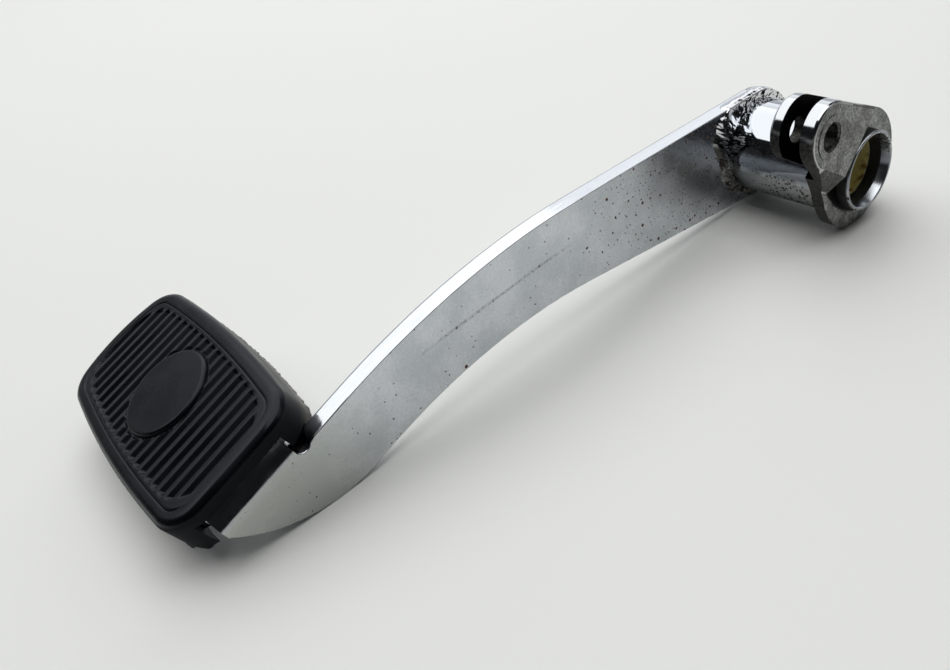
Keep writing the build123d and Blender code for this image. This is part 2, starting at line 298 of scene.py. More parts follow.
# %% Walls of the tread
RIM_ROUND, WALL, ROOF, LIP, LIP_WIDTH = 2.5, 3.2, 3.45, 2.6, 5.0
WALL_HEIGHT, SKIRT_ROUND, SKIRT_CUT, FOOT_INSET, LIP_ROUND = 12.45, 0.5, 0.15, 1.8, 0.4
ROUND_STEPS, WALL_STEPS = 8, 12
BORDER_INSETS = 5.0, 4.8, 4.6, 4.4, 4.2, 4.0, 3.7, 3.1

# Each ring is an inset from the outline and a height from the roof
rings = [(inset, 0.0) for inset in BORDER_INSETS]
for step in range(ROUND_STEPS + 1):
    angle = pi / 2 * step / ROUND_STEPS
    rings.append((RIM_ROUND * (1 - sin(angle)), RIM_ROUND * (cos(angle) - 1)))
for step in range(1, WALL_STEPS + 1):
    rings.append((0.0, -RIM_ROUND - (WALL_HEIGHT - SKIRT_ROUND - RIM_ROUND) * step / WALL_STEPS))
lip_end, lip_top = WALL + LIP_WIDTH, LIP - WALL_HEIGHT
rings += [(SKIRT_CUT, SKIRT_CUT - WALL_HEIGHT), (SKIRT_ROUND, -WALL_HEIGHT), (FOOT_INSET, -WALL_HEIGHT),
          (lip_end - LIP_ROUND, -WALL_HEIGHT), (lip_end, LIP_ROUND - WALL_HEIGHT), (lip_end, lip_top),
          (WALL, lip_top), (WALL, -ROOF)]

shell = bmesh.new()
loops = []
for inset, height in rings:
    loops.append([shell.verts.new((p.x - n.x * inset, p.y - n.y * inset, height))
                  for p, n in zip(edge_points, edge_normals)])
count = len(edge_points)
for upper, lower in zip(loops, loops[1:]):
    for k in range(count):
        j = (k + 1) % count
        shell.faces.new((upper[k], lower[k], lower[j], upper[j]))
shell.faces.new(loops[-1])
print(len(loops), "rings of", count, "points")

# %% Roof of the tread
RIB_PITCH, ROWS_PER_RIB = 4.0, 16
MEDALLION_RADIUS, MOAT_WIDTH = 13.4, 0.8
FINE_STEP, COARSE_STEP, COARSE_HALF, ROOF_HALF = 0.4, 0.8, 12.0, 20.0
EDGE_CLEARANCE = 0.2
MEDALLION_RINGS = -0.55, -0.35, -0.2, -0.05, 0.1, 0.3, 0.55, 0.75, 0.95, 1.2, 1.4
RINGS_START, RINGS_END, RING_STEPS = -0.75, 1.6, 220

net = [v.co.to_2d() for v in loops[0]]
loop_array = np.array(net)
columns = [*np.arange(-ROOF_HALF, -COARSE_HALF, FINE_STEP),
           *np.arange(-COARSE_HALF, COARSE_HALF, COARSE_STEP),
           *np.arange(COARSE_HALF, ROOF_HALF + FINE_STEP / 2, FINE_STEP)]
row_step = RIB_PITCH / ROWS_PER_RIB
for row in range(int(loop_array[:, 1].min() / row_step), int(loop_array[:, 1].max() / row_step) + 1):
    y = row * row_step
    for x in columns:
        k = int(np.hypot(loop_array[:, 0] - x, loop_array[:, 1] - y).argmin())
        depth = (loop_array[k] - (x, y)) @ edge_normal_array[k]
        if depth > EDGE_CLEARANCE and not RINGS_START < hypot(x, y) - MEDALLION_RADIUS < RINGS_END:
            net.append(Vector((x, y)))
for past in MEDALLION_RINGS:
    for k in range(RING_STEPS):
        angle = 2 * pi * k / RING_STEPS
        net.append(Vector((cos(angle), sin(angle))) * (MEDALLION_RADIUS + past))
ring_edges = [(k, (k + 1) % count) for k in range(count)]
flat, _, triangles, *_ = delaunay_2d_cdt(net, ring_edges, [], 1, 1e-5)
roof_verts = [loops[0][k] if k < count else shell.verts.new((v.x, v.y, 0)) for k, v in enumerate(flat)]
for corner in triangles:
    shell.faces.new([roof_verts[k] for k in corner])
bmesh.ops.join_triangles(shell, faces=[f for f in shell.faces if len(f.verts) == 3],
                         angle_face_threshold=0.1, angle_shape_threshold=0.6)
bmesh.ops.recalc_face_normals(shell, faces=shell.faces)
tread_mesh = bpy.data.meshes.new("tread_shell")
shell.to_mesh(tread_mesh)
shell.free()
tread = put("rubber_tread", tread_mesh)
print("shell of the tread:", len(tread_mesh.vertices), "points")

# %% [markdown]
# ## The rubber tread: gap for the bend
# The near wall is open where the steel bend comes through, and rests on the bend's round back.
# A Boolean with a bar of that section cuts it, as a mould core would, and a second bar clears the arm's edge.

# %% Gap in the near wall
BEND_START, BEND_END, ARM_START = 173.8, 201.9, 150.0
BEND_AXIS, BEND_HEIGHT, BEND_RADIUS = -7.35, 65.15, 7.4
ARM_FAR, ARM_NEAR, ARM_EDGE = -6.4, 2.0, 66.35
CUT_BOTTOM, CUT_OVERLAP, ARC_STEPS = 50.0, 0.4, 40


def bar(name, section, start, end):
    """Closed bar along level X, from a list of (y, z) corners, about the tread's centre."""
    shift = Vector((TREAD_CENTRE.x, TREAD_CENTRE.y, TREAD_TOP))
    made = bmesh.new()
    ends = [[made.verts.new(Vector((x, y, z)) - shift) for y, z in section] for x in (start, end)]
    made.faces.new(ends[0])
    made.faces.new(ends[1])
    for k in range(len(section)):
        j = (k + 1) % len(section)
        made.faces.new((ends[0][k], ends[0][j], ends[1][j], ends[1][k]))
    bmesh.ops.recalc_face_normals(made, faces=made.faces)
    mesh = bpy.data.meshes.new(name)
    made.to_mesh(mesh)
    made.free()
    return put(name, mesh)


def plain_mesh(piece):
    """What a piece's modifiers make of it, as a plain mesh. The modifiers are then removed."""
    mesh = bpy.data.meshes.new_from_object(piece.evaluated_get(bpy.context.evaluated_depsgraph_get()))
    piece.modifiers.clear()
    return mesh


over_bend = []
for step in range(ARC_STEPS + 1):
    angle = pi * step / ARC_STEPS
    over_bend.append((BEND_RADIUS * cos(angle) + BEND_AXIS, BEND_HEIGHT + BEND_RADIUS * sin(angle)))
over_bend += [(BEND_AXIS - BEND_RADIUS, CUT_BOTTOM), (BEND_AXIS + BEND_RADIUS, CUT_BOTTOM)]
over_arm = [(ARM_FAR, CUT_BOTTOM), (ARM_NEAR, CUT_BOTTOM), (ARM_NEAR, ARM_EDGE), (ARM_FAR, ARM_EDGE)]
for cutter in (bar("bend_bar", over_bend, BEND_START, BEND_END),
               bar("arm_bar", over_arm, ARM_START, BEND_START + CUT_OVERLAP)):
    cut = tread.modifiers.new("gap", "BOOLEAN")
    cut.object, cut.operation, cut.solver = cutter, "DIFFERENCE", "EXACT"
    tread.data = plain_mesh(tread)
    bpy.data.objects.remove(cutter)
print("after the gap:", len(tread.data.polygons), "faces")

# %% [markdown]
# ## The rubber tread: ribs
# Twenty ribs cross the roof, and a bare round medallion stands in the middle with a moat round it.
# Ribs repeat by a rule, so a Geometry Nodes tree makes them: it pushes the roof down in a wave, fades it
# out at the edge of the field and at the moat, and draws the thin parting groove along the rim.
# Named inputs hold the sizes in millimetres, so another tread is a change of numbers.
# The tree needs to know how far each point lies inside the rim and inside the field of ribs, so that is
# measured first and kept on the points.

# %% Measures for the ribs
FIELD_SIDE, FIELD_END = 5.4, 4.6
ROOF_TOLERANCE, BATCH = 0.001, 4000
points = np.array([v.co for v in tread.data.vertices])


def depth_inside(outline, normals):
    """Distance of every point inside an outline, in millimetres, worked out a batch at a time."""
    gaps = np.full(len(points), 0.0)
    for start in range(0, len(points), BATCH):
        part = points[start:start + BATCH, :2]
        away = part[:, None] - outline[None, :]
        nearest = np.hypot(away[..., 0], away[..., 1]).argmin(1)
        gaps[start:start + BATCH] = ((outline[nearest] - part) * normals[nearest]).sum(1)
    return gaps


field_points, field_normals = tread_outline(FIELD_SIDE, FIELD_END)
measures = {"rim": depth_inside(edge_array, edge_normal_array),
            "field": depth_inside(np.array(field_points), np.array(field_normals)),
            "roof": points[:, 2] > -ROOF_TOLERANCE}
for name, values in measures.items():
    tread.data.attributes.new(name, "FLOAT", "POINT").data.foreach_set("value", values.astype(np.float32))
print(int(measures["roof"].sum()), "points on the roof")

# %% [markdown]
# ## Moulded rubber
# Black rubber is carbon-filled and slightly waxy: nearly black, with a soft wide sheen and a fine grain.
# Boots keep its top polished while the walls stay matte.
# Grey-brown grime dries along the skirt on the pivot's side, where cleaning misses it.

# %% Moulded black rubber


def places(tree):
    """Where a point is on the bench, the same in the level frame, its axes, and which way the surface looks."""
    spot = add(tree, "ShaderNodeTexCoord")["Object"]
    level = add(tree, "ShaderNodeMapping", None, {"Vector": spot, "Rotation": (0, -LIE, 0)})[0]
    normal = add(tree, "ShaderNodeNewGeometry")["Normal"]
    axes, facing = (add(tree, "ShaderNodeSeparateXYZ", None, {0: vector}) for vector in (level, normal))
    return spot, level, axes, facing


rubber, tree, shader = finish(
    "moulded_black_rubber", IOR=1.5, Specular_IOR_Level=0.27, Specular_Tint=paint("#dfe8f7"))
spot, level, axes, facing = places(tree)
grain = add(tree, NOISE, None, {"Vector": spot, "Scale": 1 / (0.45 * MM), "Detail": 3.0})[0]
clouds = add(tree, NOISE, None, {"Vector": spot, "Scale": 1 / (11 * MM), "Detail": 4.0})[0]
near_skirt = add(tree, RANGE, SMOOTH, {"Value": axes["Z"], "From Min": 69 * MM, "From Max": 64.5 * MM})[0]
pivot_side = add(tree, RANGE, SMOOTH, {"Value": axes["X"], "From Min": 170 * MM, "From Max": 165 * MM})[0]
grime = near_skirt
for mask in (pivot_side, clouds):
    grime = add(tree, MATH, TIMES, {0: grime, 1: mask})[0]
black = add(tree, MIX, COLOUR, {0: clouds, 6: paint("#050607"), 7: paint("#0a0b0e")})[2]
tone = add(tree, MIX, COLOUR, {0: grime, 6: black, 7: paint("#655f54")})[2]
polish = add(tree, RANGE, None, {
    "Value": clouds, "From Min": 0.3, "From Max": 0.7, "To Min": 0.23, "To Max": 0.33})[0]
on_wall = add(tree, RANGE, SMOOTH, {"Value": facing["Z"], "From Min": 0.5, "From Max": 0.1})[0]
rough = add(tree, MIX, NUMBER, {0: on_wall, 2: polish, 3: 0.8})[0]
bumps = add(tree, "ShaderNodeBump", None, {"Height": grain, "Strength": 0.12, "Distance": 0.05 * MM})[0]
wire(tree, shader, Base_Color=tone, Roughness=rough, Normal=bumps)
print("rubber has", len(tree.nodes), "nodes")

# %% Helpers for Geometry Nodes trees


def sized_tree(name, sizes):
    """New tree with a named input for each size, and the identifiers that a modifier knows them by."""
    tree = bpy.data.node_groups.new(name, "GeometryNodeTree")
    for way in ("INPUT", "OUTPUT"):
        tree.interface.new_socket("Geometry", in_out=way, socket_type="NodeSocketGeometry")
    keys = {}
    for size in sizes:
        socket = tree.interface.new_socket(size, in_out="INPUT", socket_type="NodeSocketFloat")
        keys[size] = socket.identifier
    return tree, keys


def end_tree(tree, geometry, material):
    """Ends a tree with real geometry that wears its finish."""
    real = add(tree, "GeometryNodeRealizeInstances", None, {0: geometry})[0]
    dressed = add(tree, "GeometryNodeSetMaterial", None, {"Geometry": real, "Material": material})[0]
    add(tree, "NodeGroupOutput", None, {0: dressed})


def shaped(piece, tree, keys, sizes):
    """Plain mesh that a tree makes of a piece at these sizes."""
    shaper = piece.modifiers.new(tree.name, "NODES")
    shaper.node_group = tree
    for name, value in sizes.items():
        shaper[keys[name]] = value
    return plain_mesh(piece)


print("trees are ready to be built")

# %% Geometry Nodes for the ribs: where things are
rib_sizes = {"Rib pitch": RIB_PITCH, "Rib depth": 0.95, "Rib roundness": 1.2, "Field edge": 0.8,
             "Medallion radius": MEDALLION_RADIUS, "Medallion rise": 0.4, "Moat width": MOAT_WIDTH,
             "Groove inset": 4.4, "Groove half width": 0.35, "Groove depth": 0.4, "Groove end": 40.5}
ribs, rib_keys = sized_tree("tread_ribs", rib_sizes)
given = add(ribs, "NodeGroupInput")
position = add(ribs, "GeometryNodeInputPosition")[0]
place = add(ribs, "ShaderNodeSeparateXYZ", None, {0: position})
measure = {name: add(ribs, "GeometryNodeInputNamedAttribute", NUMBER, {"Name": name})[0]
           for name in ("rim", "field", "roof")}
flat_place = add(ribs, "ShaderNodeCombineXYZ", None, {0: place["X"], 1: place["Y"]})[0]
radius = add(ribs, VECTORS, {"operation": "LENGTH"}, {0: flat_place})["Value"]
past_edge = add(ribs, MATH, MINUS, {0: radius, 1: given["Medallion radius"]})[0]
past_moat = add(ribs, MATH, MINUS, {0: past_edge, 1: given["Moat width"]})[0]
in_field = add(ribs, RANGE, SMOOTH, {"Value": measure["field"], "From Max": given["Field edge"]})[0]
off_medallion = add(ribs, RANGE, SMOOTH, {"Value": past_edge, "From Min": -0.05, "From Max": 0.3})[0]
in_moat = add(ribs, RANGE, SMOOTH, {
    "Value": past_moat, "From Min": -0.35, "From Max": 0.45, "To Min": 0.9, "To Max": 0.0})[0]
print("rib tree starts with", len(rib_sizes), "sizes")

# %% Geometry Nodes for the ribs: wave, groove and medallion
turns = add(ribs, MATH, OVER, {0: place["Y"], 1: given["Rib pitch"]})[0]
phase = add(ribs, MATH, TIMES, {0: turns, 1: 2 * pi})[0]
swing = add(ribs, MATH, {"operation": "COSINE"}, {0: phase})[0]
wave = add(ribs, MATH, TIMES_PLUS, {0: swing, 1: -0.5, 2: 0.5})[0]
valley = add(ribs, MATH, {"operation": "POWER"}, {0: wave, 1: given["Rib roundness"]})[0]
hollow = add(ribs, MATH, LARGER, {0: valley, 1: in_moat})[0]
for share in (in_field, off_medallion, given["Rib depth"]):
    hollow = add(ribs, MATH, TIMES, {0: hollow, 1: share})[0]
from_line = add(ribs, MATH, MINUS, {0: measure["rim"], 1: given["Groove inset"]})[0]
from_line = add(ribs, MATH, UNSIGNED, {0: from_line})[0]
groove = add(ribs, RANGE, SMOOTH, {
    "Value": from_line, "From Max": given["Groove half width"],
    "To Min": given["Groove depth"], "To Max": 0.0})[0]
before_end = add(ribs, MATH, MINUS, {0: given["Groove end"], 1: place["Y"]})[0]
groove_ends = add(ribs, RANGE, SMOOTH, {"Value": before_end, "From Max": 4.0})[0]
hollow = add(ribs, MATH, TIMES_PLUS, {0: groove, 1: groove_ends, 2: hollow})[0]
rise = add(ribs, RANGE, SMOOTH, {
    "Value": past_edge, "From Min": -0.5, "From Max": -0.05,
    "To Min": given["Medallion rise"], "To Max": 0.0})[0]
lift = add(ribs, MATH, MINUS, {0: rise, 1: hollow})[0]
lift = add(ribs, MATH, TIMES, {0: lift, 1: measure["roof"]})[0]
push = add(ribs, "ShaderNodeCombineXYZ", None, {2: lift})[0]
moved = add(ribs, "GeometryNodeSetPosition", None, {"Geometry": given["Geometry"], "Offset": push})[0]
end_tree(ribs, moved, rubber)
ribbed = shaped(tread, ribs, rib_keys, rib_sizes)
tread.data = ribbed
print("ribbed tread:", len(ribbed.polygons), "faces")

# %% [markdown]
# ## The rubber tread: flash and nibs
# Where two mould halves met, rubber squeezed out in a thin ragged edge, and it tore at the corners.
# It is uneven by nature, so the lowest ring of the wall is moved point by point with fixed noise.
# The side towards the pivot has the most of it, and four torn nibs stand out at the near corners.

# %% Flash along the skirt
FLASH_BAND, WALL_TOLERANCE, DROOP = 2.4, 0.6, 0.12
PIVOT_FLASH, OTHER_FLASH = 0.75, 0.22
# Noise per millimetre, how much of it shows, and the slice of noise that is read
TEARS = (1.1, 0.5, 3.0), (2.9, 0.5, 7.0)
# Place on the skirt, direction of pull, length and spread, in millimetres
NIBS = [((-20.4, 35.3), (-1, 0.4, 0), 1.7, 2.0), ((20.3, 35.8), (0.5, 0.3, -1), 2.6, 3.4),
        ((17.5, 41.0), (0.3, 0.4, -1), 1.6, 4.0), ((15.6, 43.9), (-0.6, 0.3, -1), 1.5, 1.6)]

skirt = bmesh.new()
skirt.from_mesh(ribbed)
for v in skirt.verts:
    low = 1 - min(1.0, (v.co.z + WALL_HEIGHT) / FLASH_BAND)
    if low <= 0:
        continue
    gaps = np.hypot(edge_array[:, 0] - v.co.x, edge_array[:, 1] - v.co.y)
    k = int(gaps.argmin())
    if gaps[k] > WALL_TOLERANCE:
        continue
    n = edge_normals[k]
    ragged = 0.5
    for per_mm, part, layer in TEARS:
        ragged += part * noise.noise(Vector((v.co.x * per_mm, v.co.y * per_mm, layer)))
    amount = (PIVOT_FLASH if n.x < -0.6 else OTHER_FLASH) * max(0.0, ragged) * low ** 2
    v.co += Vector((n.x, n.y, -DROOP)) * amount
    for spot, pull, size, spread in NIBS:
        near = 1 - (v.co.to_2d() - Vector(spot)).length / spread
        if near > 0:
            v.co += Vector(pull).normalized() * size * near ** 2 * low ** 2
skirt.to_mesh(ribbed)
skirt.free()
ribbed.transform(LYING @ Matrix.Translation((TREAD_CENTRE.x, TREAD_CENTRE.y, TREAD_TOP)))
ribbed.polygons.foreach_set("use_smooth", [True] * len(ribbed.polygons))
ribbed.set_sharp_from_angle(angle=radians(40))
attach(tread, "root")
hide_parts("pad_rubber")
print("tread stands", round(1000 * max(v.co.z for v in ribbed.vertices), 2), "mm high")

# %% [markdown]
# ## The weld bead
# The tube is joined to the arm by a hand-made fillet weld, plated over with its ripples, lumps and holes.
# It could be a bump on the plain solid, but the bead's edge shows against the tube, so it is real geometry.
# A ring of sections follows the joint. It fans out over the arm's face, and rolls over the arm's top edge.
# A Geometry Nodes tree then heaps it up with ripples and fixed noise.

# %% Section of the weld
TUBE_RADIUS, TUBE_LEG, TOE_REACH, EDGE_REACH = 15.875, 0.5, 20.6, 18.5
ARM_EDGE_REACH, ROLL_SHARE, ROLL_BACK, ROLL_TOP = 19.0, 0.45, 4.6, 0.25
FACE_STEPS = 36
# Swells of the toe and of the crown: millimetres, and their middle and spread in degrees round the tube
FAN, DIP, CREST = (7.2, 37, 27), (2.6, -60, 25), (0.4, 75, 45)
# Degrees between which the roll over the arm's edge comes and goes
ROLL_COMES, ROLL_GOES = (38, 52), (150, 128)
# A slow and a quick unevenness of the hand: how fast it changes, and the slice of noise that is read
UNEVEN = (3, 1.7), (11, 4.1)
# The bead's edge lies just under the tube's skin, and its root deeper
SKIN_RADIUS, ROOT_SHARE, ROOT_DEPTH = TUBE_RADIUS * 0.997, 0.985, 0.1


def ease(value, start, end):
    """Goes smoothly from 0 at start to 1 at end."""
    t = min(1.0, max(0.0, (value - start) / (end - start)))
    return t * t * (3 - 2 * t)


def swell(angle, size, middle, spread):
    """Rises smoothly to the size where the angle, in degrees, passes the middle."""
    return size * exp(-(((degrees(angle) - middle + 180) % 360 - 180) / spread) ** 2)


def weld_section(angle):
    """Corners of the bead at an angle: x, y, z, how much it may heap up, and share of its face."""
    along, up_side = cos(angle), sin(angle)
    drift, shiver = (noise.noise(Vector((pace * along, pace * up_side, layer))) for pace, layer in UNEVEN)
    limit = EDGE_REACH / max(abs(up_side), 0.5) if along > 0 else EDGE_REACH
    reach = TOE_REACH + swell(angle, *FAN) - swell(angle, *DIP)
    toe = min(reach + 1.1 * drift + 0.6 * shiver, limit + 0.3 * shiver)
    leg = TUBE_LEG + 0.4 * drift + 0.3 * shiver
    hump = 0.5 + 0.09 * (toe - TUBE_RADIUS) + swell(angle, *CREST)
    roll = ease(degrees(angle), *ROLL_COMES) * ease(degrees(angle), *ROLL_GOES)
    brink = limit * ARM_EDGE_REACH / EDGE_REACH
    section = []
    for step in range(FACE_STEPS + 1):
        share = step / FACE_STEPS
        radius = toe + (SKIN_RADIUS - toe) * share ** 0.9
        belly = min(1.0, 0.4 + 5.0 * share * (1 - share) + 0.35 * share)
        rise = leg * share ** 1.3 + hump * sin(pi * share ** 0.75) - 0.8 * (1 - share) ** 6
        over, down = min(1.0, share / ROLL_SHARE), max(0.0, (share - ROLL_SHARE) / (1 - ROLL_SHARE))
        roll_radius = brink - 0.1 + 0.5 * ease(over, 0, 0.6) - 0.4 * ease(over, 0.65, 1.0)
        roll_radius += (SKIN_RADIUS - brink) * down
        roll_rise = (ROLL_BACK + ROLL_TOP) * over ** 1.2 - ROLL_BACK
        roll_rise += (leg - ROLL_TOP) * down + 0.3 * sin(pi * down)
        radius += (roll_radius - radius) * roll
        rise += (roll_rise - rise) * roll
        belly *= 1 - 0.75 * roll * (1 - down)
        section.append((radius * along, rise, radius * up_side, belly, share))
    root = TUBE_RADIUS * ROOT_SHARE
    section.append((root * along, -ROOT_DEPTH, root * up_side, 0.0, 0.0))
    return section


print("weld section has", len(weld_section(0)), "corners")

# %% Ring of weld sections
ARM_SLOPE = radians(21.8)
AROUND = 720
bead = bmesh.new()
layers = [bead.verts.layers.float.new(name) for name in ("heap", "round", "share")]
sections = []
for k in range(AROUND):
    angle = 2 * pi * k / AROUND
    ring = []
    for x, y, z, heap, share in weld_section(angle):
        sloped_x = x * cos(ARM_SLOPE) - z * sin(ARM_SLOPE)
        sloped_z = x * sin(ARM_SLOPE) + z * cos(ARM_SLOPE)
        v = bead.verts.new((sloped_x, y, sloped_z))
        for layer, value in zip(layers, (heap, angle * TUBE_RADIUS, share)):
            v[layer] = value
        ring.append(v)
    sections.append(ring)
for k in range(AROUND):
    a, b = sections[k], sections[(k + 1) % AROUND]
    for j in range(len(a)):
        i = (j + 1) % len(a)
        bead.faces.new((a[j], a[i], b[i], b[j]))
bmesh.ops.recalc_face_normals(bead, faces=bead.faces)
bead_mesh = bpy.data.meshes.new("weld_bead")
bead.to_mesh(bead_mesh)
bead.free()
weld = put("weld_bead", bead_mesh)
print("weld ring:", len(bead_mesh.vertices), "points")

# %% [markdown]
# ## Chrome over the weld
# Plating follows every ripple, so the bead sparkles in black and white. It can't reach the pits, so they rust.
# A tree further down leaves each point's depth in an attribute, and the finish turns deep places dark brown.
# Below the crown the plating is painted a darker grey as painted shade, nearly black at the toe and mid grey
# at the very bottom. Dirt gathers low down, and dirt and painted shade at the toe.

# %% Chrome over the weld: dirt, and painted shade at the toe
weld_chrome, tree, shader = finish("chrome_over_weld")
spot = add(tree, "ShaderNodeTexCoord")["Object"]
height = add(tree, "ShaderNodeSeparateXYZ", None, {0: spot})["Z"]
depth = add(tree, "ShaderNodeAttribute", {"attribute_name": "rise"})["Fac"]
share = add(tree, "ShaderNodeAttribute", {"attribute_name": "share"})["Fac"]
fine = add(tree, NOISE, None, {"Vector": spot, "Scale": 1 / (0.7 * MM), "Detail": 2.0})[0]
mixed = add(tree, MATH, TIMES_PLUS, {0: fine, 1: 0.6, 2: depth})[0]
low_down = add(tree, RANGE, SMOOTH, {"Value": height, "From Min": 9 * MM, "From Max": -3 * MM})[0]
soil_and_toe_shade = add(tree, RANGE, None, {"Value": low_down, "To Min": -0.35, "To Max": 0.27})[0]
# Near the toe the dirt is pushed up: partly dirt, partly painted shade in the crease against the arm.
dirt_and_shade_at_toe = add(tree, RANGE, SMOOTH, {"Value": share, "From Min": 0.4, "From Max": 0.1, "To Max": 0.12})[0]
soil_and_toe_shade = add(tree, MATH, {"operation": "ADD"}, {0: soil_and_toe_shade, 1: dirt_and_shade_at_toe})[0]
above_soil_and_toe_shade = add(tree, MATH, MINUS, {0: mixed, 1: soil_and_toe_shade})[0]
dirt_and_painted_shade = add(tree, RANGE, SMOOTH, {"Value": above_soil_and_toe_shade, "From Min": 0.08, "From Max": -0.04})[0]
rusty = add(tree, NOISE, None, {"Vector": spot, "Scale": 1 / (2.2 * MM), "Detail": 2.0})[0]
crud_and_shade_tone = add(tree, MIX, COLOUR, {0: rusty, 6: paint("#0d0c0b"), 7: paint("#3d3128")})[2]
print("dirt on the weld takes", len(tree.nodes), "nodes")

# %% Chrome over the weld: plating and painted shade
# Below the crown the plating is painted a darker grey, and nearly black at the bead's toe: painted shade.
painted_shade_below_crown = add(tree, RANGE, SMOOTH, {"Value": height, "From Min": 13 * MM, "From Max": 8 * MM})[0]
painted_shade_at_toe = add(tree, RANGE, SMOOTH, {"Value": share, "From Min": 0.5, "From Max": 0.3, "To Max": 0.8})[0]
painted_shade_at_toe = add(tree, MATH, TIMES, {0: painted_shade_at_toe, 1: painted_shade_below_crown})[0]
# At the very bottom the painted shade is a lighter mid grey.
painted_shade_bottom = add(tree, RANGE, SMOOTH, {"Value": height, "From Min": 2 * MM, "From Max": -2 * MM})[0]
tone = paint("#dcdee1")
for mask, colour in ((painted_shade_below_crown, paint("#7c7c7b")), (painted_shade_at_toe, paint("#3a3937")),
                     (painted_shade_bottom, paint("#8e8d89")), (dirt_and_painted_shade, crud_and_shade_tone)):
    tone = add(tree, MIX, COLOUR, {0: mask, 6: tone, 7: colour})[2]
clean = add(tree, RANGE, None, {"Value": low_down, "To Min": 0.08, "To Max": 0.16})[0]
rough = add(tree, MIX, NUMBER, {0: dirt_and_painted_shade, 2: clean, 3: 0.75})[0]
metal = add(tree, RANGE, None, {"Value": dirt_and_painted_shade, "To Min": 1.0, "To Max": 0.1})[0]
grain = add(tree, RANGE, None, {"Value": low_down, "To Min": 0.06, "To Max": 0.7})[0]
bumps = add(tree, "ShaderNodeBump", None, {"Height": fine, "Strength": grain, "Distance": 0.9 * MM})[0]
wire(tree, shader, Base_Color=tone, Roughness=rough, Metallic=metal, Normal=bumps)
print("weld finish has", len(tree.nodes), "nodes")

# %% Geometry Nodes for the bead
FACE_LENGTH, SLANT, NOISE_MIDDLE = 8.0, 0.8, 0.47
heap_sizes = {"Ripple pitch": 3.6, "Ripple length": 7.0, "Ripple height": 2.4, "Lump size": 6.5,
              "Lump height": 1.6, "Pit size": 1.0, "Pit depth": 1.7}
heaping, heap_keys = sized_tree("weld_ripples", heap_sizes)
given = add(heaping, "NodeGroupInput")
spot = add(heaping, "GeometryNodeInputPosition")[0]
measure = {name: add(heaping, "GeometryNodeInputNamedAttribute", NUMBER, {"Name": name})[0]
           for name in ("heap", "round", "share")}
across = add(heaping, MATH, OVER, {0: FACE_LENGTH, 1: given["Ripple length"]})[0]
across = add(heaping, MATH, TIMES, {0: across, 1: measure["share"]})[0]
around = add(heaping, MATH, OVER, {0: measure["round"], 1: given["Ripple pitch"]})[0]
around = add(heaping, MATH, TIMES_PLUS, {0: across, 1: SLANT, 2: around})[0]
flow = add(heaping, "ShaderNodeCombineXYZ", None, {0: around, 1: across})[0]
ripple = add(heaping, NOISE, None, {"Vector": flow, "Scale": 1.0, "Detail": 2.4, "Distortion": 0.8})[0]
grains = {}
for name in ("Lump size", "Pit size"):
    per_mm = add(heaping, MATH, OVER, {0: 1.0, 1: given[name]})[0]
    grains[name] = add(heaping, NOISE, None, {"Vector": spot, "Scale": per_mm, "Detail": 1.0})[0]
height = add(heaping, "ShaderNodeSeparateXYZ", None, {0: spot})["Z"]
upper = add(heaping, RANGE, SMOOTH, {"Value": height, "From Min": 2.0, "From Max": 14.0})[0]
lower = add(heaping, RANGE, None, {"Value": upper, "To Min": 1.0, "To Max": 0.12})[0]
rise = 0.0
for wave, amount, where in ((ripple, "Ripple height", upper), (grains["Lump size"], "Lump height", 1.0),
                            (grains["Pit size"], "Pit depth", lower)):
    centred = add(heaping, MATH, MINUS, {0: wave, 1: NOISE_MIDDLE})[0]
    placed = add(heaping, MATH, TIMES, {0: centred, 1: where})[0]
    rise = add(heaping, MATH, TIMES_PLUS, {0: placed, 1: given[amount], 2: rise})[0]
rise = add(heaping, MATH, TIMES, {0: rise, 1: measure["heap"]})[0]
outward = add(heaping, "GeometryNodeInputNormal")[0]
push = add(heaping, VECTORS, {"operation": "SCALE"}, {0: outward, "Scale": rise})[0]
kept = add(heaping, "GeometryNodeStoreNamedAttribute", {"data_type": "FLOAT", "domain": "POINT"}, {
    "Geometry": given["Geometry"], "Name": "rise", "Value": rise})[0]
moved = add(heaping, "GeometryNodeSetPosition", None, {"Geometry": kept, "Offset": push})[0]
end_tree(heaping, moved, weld_chrome)
heaped = shaped(weld, heaping, heap_keys, heap_sizes)
weld.data = heaped
heaped.transform(LYING)
heaped.polygons.foreach_set("use_smooth", [True] * len(heaped.polygons))
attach(weld, "root")
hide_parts("arm_weld")
print("weld bead:", len(heaped.polygons), "faces")

# %% [markdown]
# ## Chromed steel of the arm
# The arm was polished, plated and then left outdoors. Its edges are still mirrors, its wide faces are hazy.
# The faces are told from the edges by which way the surface looks.
# Rust breaks through in small brown pits, most of them near the tube, where the polisher couldn't reach.
# One curved line of stain runs along the face with beads of rust on it, and the face is painted a darker grey
# towards the nose: painted shade.

# %% Chrome plate: faces and patterns
plate, tree, shader = finish("worn_chrome_plate")
spot, level, axes, facing = places(tree)
sideways = add(tree, MATH, UNSIGNED, {0: facing["Y"]})[0]
face = add(tree, RANGE, SMOOTH, {"Value": sideways, "From Min": 0.9, "From Max": 0.995})[0]
clouds = add(tree, NOISE, None, {
    "Vector": spot, "Scale": 1 / (14 * MM), "Detail": 5.0, "Roughness": 0.6})[0]
grit = add(tree, NOISE, None, {"Vector": spot, "Scale": 1 / (0.8 * MM), "Detail": 2.0})[0]
flat = add(tree, "ShaderNodeCombineXYZ", None, {0: axes["X"], 1: axes["Z"]})[0]
print("patterns of the plate take", len(tree.nodes), "nodes")

# %% Chrome plate: rust pits
by_tube = add(tree, RANGE, SMOOTH, {"Value": axes["X"], "From Min": 85 * MM, "From Max": 22 * MM})[0]
rust = 0.0
